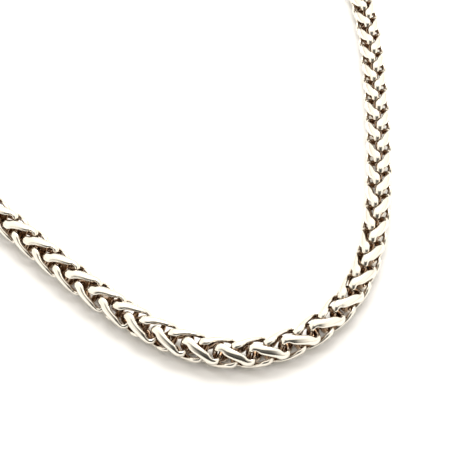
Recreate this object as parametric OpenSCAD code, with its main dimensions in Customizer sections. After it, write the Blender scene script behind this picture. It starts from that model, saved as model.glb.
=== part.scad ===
/* [Necklace] */
// Length of the whole necklace round its loop, with its clasp
necklace_l = 450; // [440:5:560]
// Width of the chain across its strokes
chain_w = 5; // [4.8:0.1:5.6]
// Diameter of the wire that each link is bent from
wire_d = 1.22; // [1.1:0.02:1.24]
// Least gap between wires that cross the chain's centre line
wire_gap = 0.11; // [0.1:0.01:0.2]
// Flat sides of the link wire
wire_sides = 5; // [5:1:6]

/* [Jump rings] */
// Diameter of the wire of each jump ring
ring_wire_d = 1; // [0.8:0.05:1.1]
// Gap between a jump ring and each wire that it holds
ring_gap = 0.22; // [0.18:0.01:0.26]
// Free length inside a jump ring between the two wires that it holds
ring_play = 0.44; // [0.4:0.02:0.8]

/* [Clasp] */
// Length of the clasp over its eye and its hook
clasp_l = 18; // [16:0.5:20]
// Thickest diameter of the clasp's body
clasp_body_d = 5; // [4:0.1:5]
// Diameter of the body where it meets the eye and the hook
clasp_neck_d = 2.4; // [2:0.1:3]
// Diameter of the wire of the eye
eye_wire_d = 1.2; // [1:0.1:1.4]
// Play of a jump ring in the eye
eye_play = 1.6; // [1.5:0.1:2]
// Diameter of the wire of the closed hook
hook_wire_d = 1.6; // [1.4:0.1:1.8]
// Play of a jump ring in the hook
hook_play = 2.8; // [2.4:0.1:3.4]
// Diameter of the thumb knob
knob_d = 1.6; // [1.2:0.1:2]
// Height of the thumb knob above the thickest part of the body
knob_h = 0.8; // [0.4:0.1:1.2]

/* [Hidden] */
SILVER = [0.84, 0.84, 0.86];
ROUND = 48;

// Guide points of the closed route, as [across, away]. The clasp lies at the first one, and the
// chain runs on from there down the left, round the front and up the right.
ROUTE = [
    [-18, 142], [-28, 147], [-38, 152], [-55, 157.5], [-76.5, 155.5], [-96, 141.5],
    [-105.5, 119], [-102.5, 95.5], [-90, 75.5], [-69.4, 55.8], [-32.8, 20.4], [-18.2, 8],
    [-8.3, 1.9], [1, -0.3], [10, 1.8], [18.2, 8], [24.3, 18.6], [27.6, 35.5],
    [29.3, 62], [29.5, 89], [23.5, 110], [13, 124], [2, 132], [-8, 137]
];
// Short straight steps between two guide points
ROUTE_STEPS = 16;

// Corners of half a link's wire, from its end to its middle. REACH is a share of the half length,
// SPREAD a share of the stroke radius, and TURN the degrees round the chain from the end's plane.
REACH = 0;
SPREAD = 1;
TURN = 2;
LINK_ROWS = [
    [1.00, 0.32, 13],
    [0.85, 1.00, 19],
    [0.00, 1.00, 45]
];
SHOULDER = 1;
MIDDLE = 2;
// Half the length of a link's centre line, in steps from one link to the next. The ends of the
// links then cross the centre line of the chain evenly, half a step apart.
HALF_LINK = 1.25;

function unit(v) = v / norm(v);

// Smooth closed curve that the guide points draw
function guide(i) = ROUTE[(i + len(ROUTE)) % len(ROUTE)];
function blend(a, b, c, d, t) =
    (pow(1 - t, 3) * a + (3 * pow(t, 3) - 6 * pow(t, 2) + 4) * b
        + (-3 * pow(t, 3) + 3 * pow(t, 2) + 3 * t + 1) * c + pow(t, 3) * d) / 6;
drawn = [
    for (i = [0 : len(ROUTE) - 1], k = [0 : ROUTE_STEPS - 1])
        blend(guide(i - 1), guide(i), guide(i + 1), guide(i + 2), k / ROUTE_STEPS)
];
function along(line, i = 0, s = 0, sums = []) =
    i == len(line) ? concat(sums, [s])
        : along(line, i + 1, s + norm(line[(i + 1) % len(line)] - line[i]), concat(sums, [s]));
drawn_s = along(drawn);
route_scale = necklace_l / drawn_s[len(drawn)];
route_x = [for (i = [0 : len(drawn)]) [drawn_s[i], drawn[i % len(drawn)].x] * route_scale];
route_y = [for (i = [0 : len(drawn)]) [drawn_s[i], drawn[i % len(drawn)].y] * route_scale];
function route_at(s) =
    let (w = (s + necklace_l) % necklace_l)
    [lookup(w, route_x), lookup(w, route_y)];
function heading_at(s) =
    let (v = route_at(s + link_step / 2) - route_at(s - link_step / 2))
    atan2(v.y, v.x);

// A jump ring holds a link on one side and a wire of the clasp on the other
ring_id = wire_d + hook_wire_d + 2 * ring_gap + ring_play;
ring_r = (ring_id + ring_wire_d) / 2;
function ring_hold(held_d) = (ring_wire_d + held_d) / 2 + ring_gap;
function ring_reach(held_d) = 2 * ring_r - ring_hold(wire_d) - ring_hold(held_d);
eye_r = (ring_wire_d + eye_play + eye_wire_d) / 2;
hook_r = (ring_wire_d + hook_play + hook_wire_d) / 2;

// The clasp and its two jump rings fill one straight stretch between the chain's ends
clasp_stretch = ring_reach(eye_wire_d) + clasp_l - (eye_wire_d + hook_wire_d) / 2 + ring_reach(hook_wire_d);
eye_x = ring_reach(eye_wire_d) - clasp_stretch / 2 + eye_r;
hook_x = clasp_stretch / 2 - ring_reach(hook_wire_d) - hook_r;

least_step = 2 * (wire_d + wire_gap);
chain_l = necklace_l - clasp_stretch;
link_count = floor(chain_l / least_step - 2 * HALF_LINK + 1);
link_step = chain_l / (link_count + 2 * HALF_LINK - 1);
link_half_l = HALF_LINK * link_step;
left_count = floor(link_count / 2);
function link_s(k) = clasp_stretch / 2 + link_half_l + k * link_step;
// Links of the two twists take turns
function link_hand(k) = k % 2 == 0 ? 1 : -1;

// Corners of one wire of a link, from its upright back end to its level front end
stroke_r = (chain_w - wire_d * cos(180 / wire_sides)) / 2 / cos(LINK_ROWS[SHOULDER][TURN]);
function link_corner(row, end, hand) =
    let (
        r = row[SPREAD] * stroke_r,
        turn = hand * (end < 0 ? row[TURN] : 90 - row[TURN])
    )
    [end * row[REACH] * link_half_l, r * sin(turn), r * cos(turn)];
function link_wire(hand) = concat(
    [for (i = [0 : MIDDLE]) link_corner(LINK_ROWS[i], -1, hand)],
    [for (i = [MIDDLE - 1 : -1 : 0]) link_corner(LINK_ROWS[i], 1, hand)]
);
// The other wire is the same one turned half round the chain
function link_line(hand) =
    let (wire = link_wire(hand))
    concat(wire, [for (i = [len(wire) - 1 : -1 : 0]) [wire[i].x, -wire[i].y, -wire[i].z]]);
function wire_ring(line, i) =
    let (
        n = len(line),
        here = line[i],
        ahead = unit(unit(line[(i + 1) % n] - here) + unit(here - line[(i + n - 1) % n])),
        radial = [0, here.y, here.z],
        out = unit(radial - radial * ahead * ahead),
        side = cross(ahead, out)
    )
    [
        for (j = [0 : wire_sides - 1])
            let (a = 360 * j / wire_sides)
            here + wire_d / 2 * (cos(a) * out + sin(a) * side)
    ];
function link_points(hand) =
    let (line = link_line(hand))
    [for (i = [0 : len(line) - 1]) each wire_ring(line, i)];
right_points = link_points(1);
left_points = link_points(-1);
function hand_points(hand) = hand > 0 ? right_points : left_points;
ring_count = len(link_line(1));
link_faces = [
    for (i = [0 : ring_count - 1], j = [0 : wire_sides - 1])
        let (
            a = i * wire_sides + j,
            b = i * wire_sides + (j + 1) % wire_sides,
            c = (i + 1) % ring_count * wire_sides + (j + 1) % wire_sides,
            d = (i + 1) % ring_count * wire_sides + j
        )
        each [[a, c, b], [a, d, c]]
];
// The chain lies on its lowest strokes, and a jump ring leans until it touches the surface too
axis_h = -min([for (p = right_points) p.z]);
ring_lean = asin(min(1, (axis_h - ring_wire_d / 2) / ring_r));

// The loop is centred over its own box
chain_xy = [
    for (k = [0 : link_count - 1])
        let (at = route_at(link_s(k)), a = heading_at(link_s(k)))
        each [
            for (p = hand_points(link_hand(k)))
                at + [p.x * cos(a) - p.y * sin(a), p.x * sin(a) + p.y * cos(a)]
        ]
];
hook_xy = [
    for (a = [0 : 90 : 270])
        route_at(hook_x) + (hook_r + hook_wire_d / 2) * [cos(a), sin(a)]
];
outline_x = [for (p = concat(chain_xy, hook_xy)) p.x];
outline_y = [for (p = concat(chain_xy, hook_xy)) p.y];
centre = [min(outline_x) + max(outline_x), min(outline_y) + max(outline_y)] / 2;

// Stands its child on the route, with the child's X along the chain
module on_route(s, h) {
    at = route_at(s) - centre;
    translate([at.x, at.y, h])
        rotate([0, 0, heading_at(s)])
            children();
}

// One closed oval link, twisted a quarter turn from end to end
module link(hand) {
    polyhedron(points = hand_points(hand), faces = link_faces);
}

module links(first, last) {
    for (k = [first : last])
        on_route(link_s(k), axis_h)
            link(link_hand(k));
}

// Round wire of diameter d, closed in a circle of radius r
module wire_loop(r, d) {
    rotate_extrude($fn = ROUND)
        translate([r, 0])
            circle(d = d, $fn = ROUND / 2);
}

// A jump ring leans across the wires of the link that it holds
module jump_ring(s, hand) {
    on_route(s, axis_h)
        rotate([-hand * ring_lean, 0, 0])
            wire_loop(ring_r, ring_wire_d);
}

// Half of the chain, from the clasp down the left to the front
module chain_left() {
    color(SILVER)
        links(0, left_count - 1);
}

// The other half, from the front up the right to the clasp
module chain_right() {
    color(SILVER)
        links(left_count, link_count - 1);
}

// Ring that joins the end of the chain to the clasp's eye
module clasp_ring() {
    color(SILVER)
        jump_ring(ring_r - ring_hold(wire_d) - clasp_stretch / 2, link_hand(link_count - 1));
}

// Ring that the clasp's hook holds at the start of the chain
module catch_ring() {
    color(SILVER)
        jump_ring(clasp_stretch / 2 + ring_hold(wire_d) - ring_r, link_hand(0));
}

// Body of the clasp, thickest half way between the eye and the hook
module clasp_barrel(half_l) {
    bulge = (clasp_body_d - clasp_neck_d) / 2;
    bulge_r = (pow(half_l, 2) + pow(bulge, 2)) / (2 * bulge);
    rotate([0, 90, 0])
        rotate_extrude($fn = ROUND)
            intersection() {
                translate([0, -half_l])
                    square([clasp_body_d, 2 * half_l]);
                translate([clasp_body_d / 2 - bulge_r, 0])
                    circle(r = bulge_r, $fn = 2 * ROUND);
            }
}

// Plain closed clasp: an eye, a barrel body with a knob, and a hook in one piece
module clasp() {
    body_from = eye_x + eye_r;
    body_to = hook_x - hook_r;
    color(SILVER)
        on_route(0, clasp_body_d / 2)
            union() {
                translate([eye_x, 0, 0])
                    wire_loop(eye_r, eye_wire_d);
                translate([hook_x, 0, 0])
                    wire_loop(hook_r, hook_wire_d);
                translate([(body_from + body_to) / 2, 0, 0]) {
                    clasp_barrel((body_to - body_from) / 2);
                    rotate([-90, 0, 0])
                        cylinder(d = knob_d, h = clasp_body_d / 2 + knob_h, $fn = ROUND);
                }
            }
}

chain_left();
chain_right();
clasp_ring();
catch_ring();
clasp();
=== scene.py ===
import bisect
import math
import bpy
from mathutils import Matrix, Vector


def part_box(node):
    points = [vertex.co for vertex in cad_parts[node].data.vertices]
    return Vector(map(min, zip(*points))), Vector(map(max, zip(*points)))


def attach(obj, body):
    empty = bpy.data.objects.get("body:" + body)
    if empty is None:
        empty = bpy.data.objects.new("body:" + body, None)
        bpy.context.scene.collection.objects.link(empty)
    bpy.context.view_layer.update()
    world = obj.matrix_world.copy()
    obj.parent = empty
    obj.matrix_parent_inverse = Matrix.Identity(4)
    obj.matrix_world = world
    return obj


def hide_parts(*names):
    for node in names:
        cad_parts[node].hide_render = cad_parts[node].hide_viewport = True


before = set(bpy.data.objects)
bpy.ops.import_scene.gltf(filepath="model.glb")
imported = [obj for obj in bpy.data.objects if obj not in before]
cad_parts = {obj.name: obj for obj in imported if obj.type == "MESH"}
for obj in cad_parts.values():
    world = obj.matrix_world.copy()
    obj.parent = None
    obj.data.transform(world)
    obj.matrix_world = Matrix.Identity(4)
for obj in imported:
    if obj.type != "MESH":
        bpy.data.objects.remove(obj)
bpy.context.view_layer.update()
bpy.ops.object.select_all(action="DESELECT")
print("packed nodes:", ", ".join(sorted(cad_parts)))

mm = 0.001


# The chain's route over the table: clasp first, down the left, round the front, up the right
route = {
    "length": 450 * mm,       # once round, clasp included
    "steps": 16,              # from one guide to the next
    "catchRing": 9.23 * mm,   # run of the catch ring's middle
    "guides": [
        (-18, 142), (-28, 147), (-38, 152), (-55, 157.5), (-76.5, 155.5), (-96, 141.5),
        (-105.5, 119), (-102.5, 95.5), (-90, 75.5), (-69.4, 55.8), (-32.8, 20.4), (-18.2, 8),
        (-8.3, 1.9), (1, -0.3), (10, 1.8), (18.2, 8), (24.3, 18.6), (27.6, 35.5),
        (29.3, 62), (29.5, 89), (23.5, 110), (13, 124), (2, 132), (-8, 137),
    ],
    # run, and how many degrees the chain has rolled over there towards its right
    "leans": [
        (0, 0), (200 * mm, 48), (222 * mm, 48), (238 * mm, 41), (276 * mm, -6),
        (298 * mm, -13), (345 * mm, -6), (450 * mm, 0),
    ],
}

link = {
    "step": 2.67601 * mm,     # from one link to the next, of either twist
    "first": 13.59501 * mm,   # run of the first link's middle
    "count": 159,
    # one wire of a link, in mm, from its upright back end to its middle: reach along the axis,
    # distance off the axis and degrees round the axis
    "rows": [
        (3.27, 0, 0), (3.16, 0.475, 0.2), (3.03, 2.085, 8.5), (1.72, 2.085, 8.8),
        (1.49, 2.1, 28), (0, 2.1, 45),
    ],
    "core": 1.2,              # the ends bend round this point of the axis
    "corners": 6,             # of the cage round the wire
    "thick": 0.95,            # of the flattened wire, towards the axis
    "wide": 1.6,              # along the strokes
    "wideEnd": 1.31,          # and round the two ends
    "narrowing": (0.45, 0.5),  # where that starts and how long it is, in shares of the reach
    "face": 0.66,             # half width of the flat, as a share of half the wire
    "edge": 1.13,             # and of the rounded edge
}


def ease(t):
    t = min(max(t, 0), 1)
    return t * t * (3 - 2 * t)


# Smooth line drawn along the guides, brought to the chain's real length
def drawRoute(spec):
    guides = [Vector(p) for p in spec["guides"]]
    count = len(guides)
    line = []
    for i in range(count):
        a, b, c, d = (guides[(i + j) % count] for j in (-1, 0, 1, 2))
        for k in range(spec["steps"]):
            t = k / spec["steps"]
            line.append(((1 - t) ** 3 * a + (3 * t ** 3 - 6 * t ** 2 + 4) * b
                         + (-3 * t ** 3 + 3 * t ** 2 + 3 * t + 1) * c + t ** 3 * d) / 6)
    line.append(line[0])
    run = [0.0]
    for p, q in zip(line, line[1:]):
        run.append(run[-1] + (q - p).length)
    scale = spec["length"] / run[-1]
    return [p * scale for p in line], [s * scale for s in run]


routeLine, routeRun = drawRoute(route)


def routeAt(s):
    s %= route["length"]
    i = min(bisect.bisect_right(routeRun, s), len(routeRun) - 1)
    t = (s - routeRun[i - 1]) / (routeRun[i] - routeRun[i - 1])
    return routeLine[i - 1].lerp(routeLine[i], t)


def middleOf(node):
    low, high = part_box(node)
    return (low + high) / 2


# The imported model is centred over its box, so a jump ring shows how far the route moved
shift = middleOf("catch_ring").xy - routeAt(route["catchRing"])
axisHeight = middleOf("chain_left").z


def heading(s):
    v = routeAt(s + link["step"] / 2) - routeAt(s - link["step"] / 2)
    return math.atan2(v.y, v.x)


def lean(s):
    for (s0, a0), (s1, a1) in zip(route["leans"], route["leans"][1:]):
        if s <= s1:
            return math.radians(a0 + (a1 - a0) * ease((s - s0) / (s1 - s0)))
    return 0.0


def onRoute(s):
    p = routeAt(s) + shift
    return (Matrix.Translation((p.x, p.y, axisHeight)) @ Matrix.Rotation(heading(s), 4, "Z")
            @ Matrix.Rotation(lean(s), 4, "X"))


# Camera over the front of the loop, at the photo's angle
view = {
    "aim": (-1.0, 24.5, 5.0),  # on the route's table, in mm
    "down": 52.7,              # degrees
    "away": 165.66,            # in mm
    "lens": 76.0,
    "film": 36,
    "nearest": 1 * mm,
}


def makeCamera(spec):
    tilt = math.radians(spec["down"])
    aim = Vector(spec["aim"]) * mm + Vector((shift.x, shift.y, 0))
    look = Vector((0, math.cos(tilt), -math.sin(tilt)))
    bpy.ops.object.camera_add(location=aim - look * spec["away"] * mm,
                              rotation=(math.radians(90 - spec["down"]), 0, 0))
    camera = bpy.context.object
    camera.name = "camera"
    camera.data.sensor_width = spec["film"]
    camera.data.lens = spec["lens"]
    camera.data.clip_start = spec["nearest"]
    bpy.context.scene.camera = camera


makeCamera(view)
print("camera set")


# A shader socket, with maths as expressions
class Socket:
    def __init__(self, tree, socket):
        self.tree, self.socket = tree, socket

    def node(self, kind, settings=None, **sockets):
        made = self.tree.nodes.new(kind)
        for name, value in (settings or {}).items():
            setattr(made, name, value)
        for name, value in sockets.items():
            numbered = name[0] == "i" and name[1:].isdigit()
            socket = made.inputs[int(name[1:]) if numbered else name]
            if isinstance(value, Socket):
                self.tree.links.new(value.socket, socket)
            else:
                socket.default_value = value
        return made

    def out(self, kind, settings=None, pick=0, **sockets):
        return Socket(self.tree, self.node(kind, settings, **sockets).outputs[pick])

    def maths(self, operation, a, b=0.0, clamp=False):
        return self.out("ShaderNodeMath", {"operation": operation, "use_clamp": clamp}, i0=a, i1=b)

    def __add__(self, other): return self.maths("ADD", self, other)
    def __radd__(self, other): return self.maths("ADD", other, self)
    def __sub__(self, other): return self.maths("SUBTRACT", self, other)
    def __rsub__(self, other): return self.maths("SUBTRACT", other, self)
    def __mul__(self, other): return self.maths("MULTIPLY", self, other)
    def __rmul__(self, other): return self.maths("MULTIPLY", other, self)

    def size(self):
        return self.maths("ABSOLUTE", self)

    def clamped(self):
        return self.maths("MULTIPLY", self, 1.0, clamp=True)

    def between(self, low, high):
        return self.out("ShaderNodeMapRange", {"interpolation_type": "SMOOTHSTEP"},
                        i0=self, i1=low, i2=high)

    def mix(self, a, b):
        return self.out("ShaderNodeMix", {"data_type": "RGBA"}, pick=2, i0=self, i6=a, i7=b)

    def feed(self, target):
        self.tree.links.new(self.socket, target)


def newMaterial(name):
    material = bpy.data.materials.new(name)
    material.use_nodes = True
    tree = material.node_tree
    start = tree.nodes.new("ShaderNodeTexCoord")
    return material, tree.nodes["Principled BSDF"].inputs, Socket(tree, start.outputs["Object"])


silver = {
    "bright": (0.82, 0.785, 0.705, 1),
    # colour of the tarnish in stains and pits, and also of the painted shade in the hollow places
    "tarnishAndShade": (0.28, 0.178, 0.104, 1),
    "roughness": 0.13,
    "handled": 0.14,                   # extra roughness where it is rubbed
    "pitted": 0.25,                    # and in a pit
    "dullStain": 0.10,                 # tarnish on the rubbed stretches
    "pitStain": 0.35,                  # and in a pit
    "ragged": 0.08,                    # how ragged the edge of the tarnish and painted shade in each hollow is
    "patches": 320.0,                  # scales of the noises
    "grain": 2600.0,
    "pits": 900.0,
    "pitEdge": (0.04, 0.11),           # of a pit's cell
    "rubbed": (0.35, 0.75),            # range of the patches from bright to dull
    "lines": (9000.0, 1300.0, 9000.0),  # the polishing lines' scale along each axis
    "linesTurn": (0.3, 0.5, 0.7),
    "linesHigh": 0.6,                  # shares of the relief
    "grainHigh": 0.4,
    "pitDeep": 0.8,
    "hairline": 0.02 * mm,             # depth of the relief
    "relief": 0.12,                    # and how much of it shows
}


# Tarnish and painted shade in the hollow places, darker where less light gets in: how far round
# itself a hollow looks for its neighbours, how open a place is where it is all dark and where it
# is all bright, and how much of the darkening is left
hollows = {
    "chain": {"reach": 2.2 * mm, "open": (0.41, 0.76), "left": 0.97},
    "findings": {"reach": 2.6 * mm, "open": (0.55, 0.96), "left": 0.85},
}


def silverMaterial(name, spec, hollowDarkening):
    material, sockets, place = newMaterial(name)
    patches = place.out("ShaderNodeTexNoise", Vector=place, Scale=spec["patches"], Detail=4.0,
                        Roughness=0.6)
    grain = place.out("ShaderNodeTexNoise", Vector=place, Scale=spec["grain"], Detail=3.0,
                      Roughness=0.65)
    stretched = place.out("ShaderNodeMapping", Vector=place, Scale=spec["lines"],
                          Rotation=spec["linesTurn"])
    lines = place.out("ShaderNodeTexNoise", Vector=stretched, Scale=1.0, Detail=2.0, Roughness=0.5)
    cells = place.out("ShaderNodeTexVoronoi", {"feature": "F1"}, Vector=place,
                      Scale=spec["pits"], Randomness=1.0)
    pit = 1 - cells.between(*spec["pitEdge"])
    dull = patches.between(*spec["rubbed"])
    # Painted shade and tarnish: ambient occlusion finds the hollow places, which are darkened
    # towards the tarnish colour
    opened = place.out("ShaderNodeAmbientOcclusion", {"only_local": True, "samples": 16}, pick=1,
                       Distance=hollowDarkening["reach"])
    opened = opened + spec["ragged"] * (grain - 0.5)
    stainAndShade = spec["dullStain"] * dull + spec["pitStain"] * pit
    # painted shade and tarnish in the hollow places, on top of the stains of wear and pits
    stainAndShade = stainAndShade + (1 - opened.between(*hollowDarkening["open"])) * hollowDarkening["left"]
    stainAndShade.clamped().mix(spec["bright"], spec["tarnishAndShade"]).feed(sockets["Base Color"])
    rough = spec["roughness"] + spec["handled"] * dull * grain + spec["pitted"] * pit
    rough.feed(sockets["Roughness"])
    sockets["Metallic"].default_value = 1.0
    relief = spec["linesHigh"] * lines + spec["grainHigh"] * grain - spec["pitDeep"] * pit
    bump = place.out("ShaderNodeBump", Height=relief, Strength=spec["relief"],
                     Distance=spec["hairline"])
    bump.feed(sockets["Normal"])
    return material


chainSilver = silverMaterial("chainSilver", silver, hollows["chain"])
findingSilver = silverMaterial("findingSilver", silver, hollows["findings"])


# Middle line of one link's wire: out along one side, then back along the same wire turned half
# round the axis
def linkLine(spec, hand):
    half = [(-reach, off, turn) for reach, off, turn in spec["rows"]]
    half += [(reach, off, 90 - turn) for reach, off, turn in spec["rows"][-2:0:-1]]
    wire = []
    for reach, off, turn in half:
        a = math.radians(turn) * hand
        wire.append(Vector((reach, off * math.sin(a), off * math.cos(a))))
    tip = Vector((spec["rows"][0][0], 0, 0))
    other = [Vector((p.x, -p.y, -p.z)) for p in wire[1:]]
    return wire + [tip] + other[::-1]


# Corners of the cage, out from the axis and sideways, which one subdivision rounds
def wireCorners(spec, share):
    start, length = spec["narrowing"]
    end = ease((share - start) / length)
    wide = (spec["wide"] * (1 - end) + spec["wideEnd"] * end) / 2
    high, face, edge = spec["thick"] / 2, spec["face"] * wide, spec["edge"] * wide
    return [(high, face), (0, edge), (-high, face), (-high, -face), (0, -edge), (high, -face)]


# One link: a torus whose rings are laid along the twisted line of the wire
def makeLink(spec, hand):
    line = linkLine(spec, hand)
    count = len(line)
    bpy.ops.mesh.primitive_torus_add(major_segments=count, minor_segments=spec["corners"],
                                     major_radius=3 * mm, minor_radius=0.5 * mm)
    made = bpy.context.object
    made.name = "link" + ("Right" if hand > 0 else "Left")
    tip = spec["rows"][0][0]
    for i, p in enumerate(line):
        ahead = (line[(i + 1) % count] - line[i - 1]).normalized()
        out = p - Vector((max(-spec["core"], min(spec["core"], p.x)), 0, 0))
        out = (out - out.dot(ahead) * ahead).normalized()
        side = out.cross(ahead)
        for j, (o, w) in enumerate(wireCorners(spec, abs(p.x) / tip)):
            made.data.vertices[i * spec["corners"] + j].co = (p + out * o + side * w) * mm
    bpy.ops.object.mode_set(mode="EDIT")
    bpy.ops.mesh.select_all(action="SELECT")
    bpy.ops.mesh.normals_make_consistent(inside=False)
    bpy.ops.object.mode_set(mode="OBJECT")
    bpy.ops.object.shade_smooth()
    made.select_set(False)
    return made


patterns = [makeLink(link, hand) for hand in (1, -1)]
print("two links shaped, one of each twist")


# Links of the two twists in turn along the route, joined
def layLinks(name, spec):
    copies = []
    for k in range(spec["count"]):
        copy = patterns[k % 2].copy()
        copy.data = copy.data.copy()
        copy.data.transform(onRoute(spec["first"] + k * spec["step"]))
        bpy.context.collection.objects.link(copy)
        copies.append(copy)
    bpy.ops.object.select_all(action="DESELECT")
    for copy in copies:
        copy.select_set(True)
    bpy.context.view_layer.objects.active = copies[0]
    bpy.ops.object.join()
    chain = bpy.context.object
    chain.name = name
    chain.data.materials.clear()
    chain.data.materials.append(chainSilver)
    rounded = chain.modifiers.new("rounded", "SUBSURF")
    rounded.levels = rounded.render_levels = 1
    bpy.ops.object.select_all(action="DESELECT")
    return chain


wheatLinks = layLinks("wheat_links", link)
for pattern in patterns:
    bpy.data.objects.remove(pattern)
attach(wheatLinks, "root")
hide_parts("chain_left", "chain_right")
print("links laid:", link["count"])


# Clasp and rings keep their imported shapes, with the facets smoothed and the sharp edges eased
easing = {
    "merge": 0.002 * mm,
    "sharp": 42,              # degrees, from which an edge counts as sharp
    "width": 0.12 * mm,
    "segments": 2,
}


def polished(node, spec):
    copy = bpy.data.objects.new(node + "_polished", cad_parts[node].data.copy())
    bpy.context.collection.objects.link(copy)
    bpy.context.view_layer.objects.active = copy
    copy.select_set(True)
    copy.data.materials.clear()
    copy.data.materials.append(findingSilver)
    bpy.ops.object.mode_set(mode="EDIT")
    bpy.ops.mesh.select_all(action="SELECT")
    bpy.ops.mesh.remove_doubles(threshold=spec["merge"])
    bpy.ops.object.mode_set(mode="OBJECT")
    eased = copy.modifiers.new("eased", "BEVEL")
    eased.width, eased.segments = spec["width"], spec["segments"]
    eased.limit_method, eased.angle_limit = "ANGLE", math.radians(spec["sharp"])
    bpy.ops.object.modifier_apply(modifier=eased.name)
    bpy.ops.object.shade_smooth_by_angle(angle=math.radians(spec["sharp"]))
    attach(copy, "root")
    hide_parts(node)
    copy.select_set(False)


for node in ("clasp", "clasp_ring", "catch_ring"):
    polished(node, easing)
print("clasp and rings polished")


# Pale table, wide enough for low views
table = {
    "size": 12.0,             # in metres
    "colour": (0.89, 0.885, 0.875, 1),
    "roughness": 0.75,
    "uneven": 0.1,            # extra roughness of the paper's grain
    "grain": 180.0,
}


def makeTable(spec):
    bpy.ops.mesh.primitive_plane_add(size=spec["size"], location=(0, 0, 0))
    floor = bpy.context.object
    floor.name = "table"
    material, sockets, place = newMaterial("tablePaper")
    grain = place.out("ShaderNodeTexNoise", Vector=place, Scale=spec["grain"], Detail=3.0)
    (spec["roughness"] + spec["uneven"] * grain).feed(sockets["Roughness"])
    sockets["Base Color"].default_value = spec["colour"]
    floor.data.materials.append(material)
    floor.select_set(False)


makeTable(table)

overhead = {
    "at": (0.07, 0.22, 0.42),  # in metres
    "aim": (0.02, 0, 0),
    "size": (0.42, 0.28),
    "watts": 2.1,
}


def softbox(name, spec):
    place, aim = Vector(spec["at"]), Vector(spec["aim"])
    bpy.ops.object.light_add(type="AREA", location=place)
    lamp = bpy.context.object
    lamp.name = name
    lamp.rotation_euler = (aim - place).to_track_quat("-Z", "Y").to_euler()
    lamp.data.shape = "RECTANGLE"
    lamp.data.size, lamp.data.size_y = spec["size"]
    lamp.data.energy = spec["watts"]
    lamp.select_set(False)


softbox("overhead", overhead)

# A white tent all round, dimmer low down, and open at the front, where the room is dark. Its
# places are parts of a direction of length 1: sideways, to the front and up
tent = {
    "white": (1.0, 0.955, 0.89, 1),
    "skirt": (0.7, 0.675, 0.63, 1),    # low down, behind and at the sides
    "skirtUp": (0.0, 0.3),
    "dark": (0.012, 0.011, 0.01, 1),   # low down in its open front
    "grey": (0.1, 0.097, 0.09, 1),     # and higher up there
    "greyUp": (0.1, 0.8),
    "sides": (0.3, 0.86),              # where the open front ends, sideways
    "front": (0.1, 0.4),               # where it starts, to the front
    "top": 0.85,                       # where it ends, upwards
    "topEdge": 0.1,
    "rim": 0.08,                       # dark rim below the top
    "strength": 1.46,
}


def makeTent(spec):
    room = bpy.data.worlds.new("room")
    room.use_nodes = True
    tree = room.node_tree
    back = tree.nodes["Background"]
    way = Socket(tree, tree.nodes.new("ShaderNodeTexCoord").outputs["Generated"])
    parts = way.node("ShaderNodeSeparateXYZ", Vector=way).outputs
    side, ahead, height = (Socket(tree, part) for part in parts)
    top = spec["top"]
    opening = (1 - side.size().between(*spec["sides"])) * (0 - ahead).between(*spec["front"])
    opening = opening * (1 - height.between(top, top + spec["topEdge"]))
    rim = height.between(top - spec["rim"], top)
    tone = (height.between(*spec["greyUp"]) * (1 - rim)).mix(spec["dark"], spec["grey"])
    wall = height.between(*spec["skirtUp"]).mix(spec["skirt"], spec["white"])
    opening.mix(wall, tone).feed(back.inputs["Color"])
    back.inputs["Strength"].default_value = spec["strength"]
    bpy.context.scene.world = room


makeTent(tent)
bpy.context.scene.view_settings.view_transform = "Standard"
print("table, lamp and tent set")

bpy.context.view_layer.update()
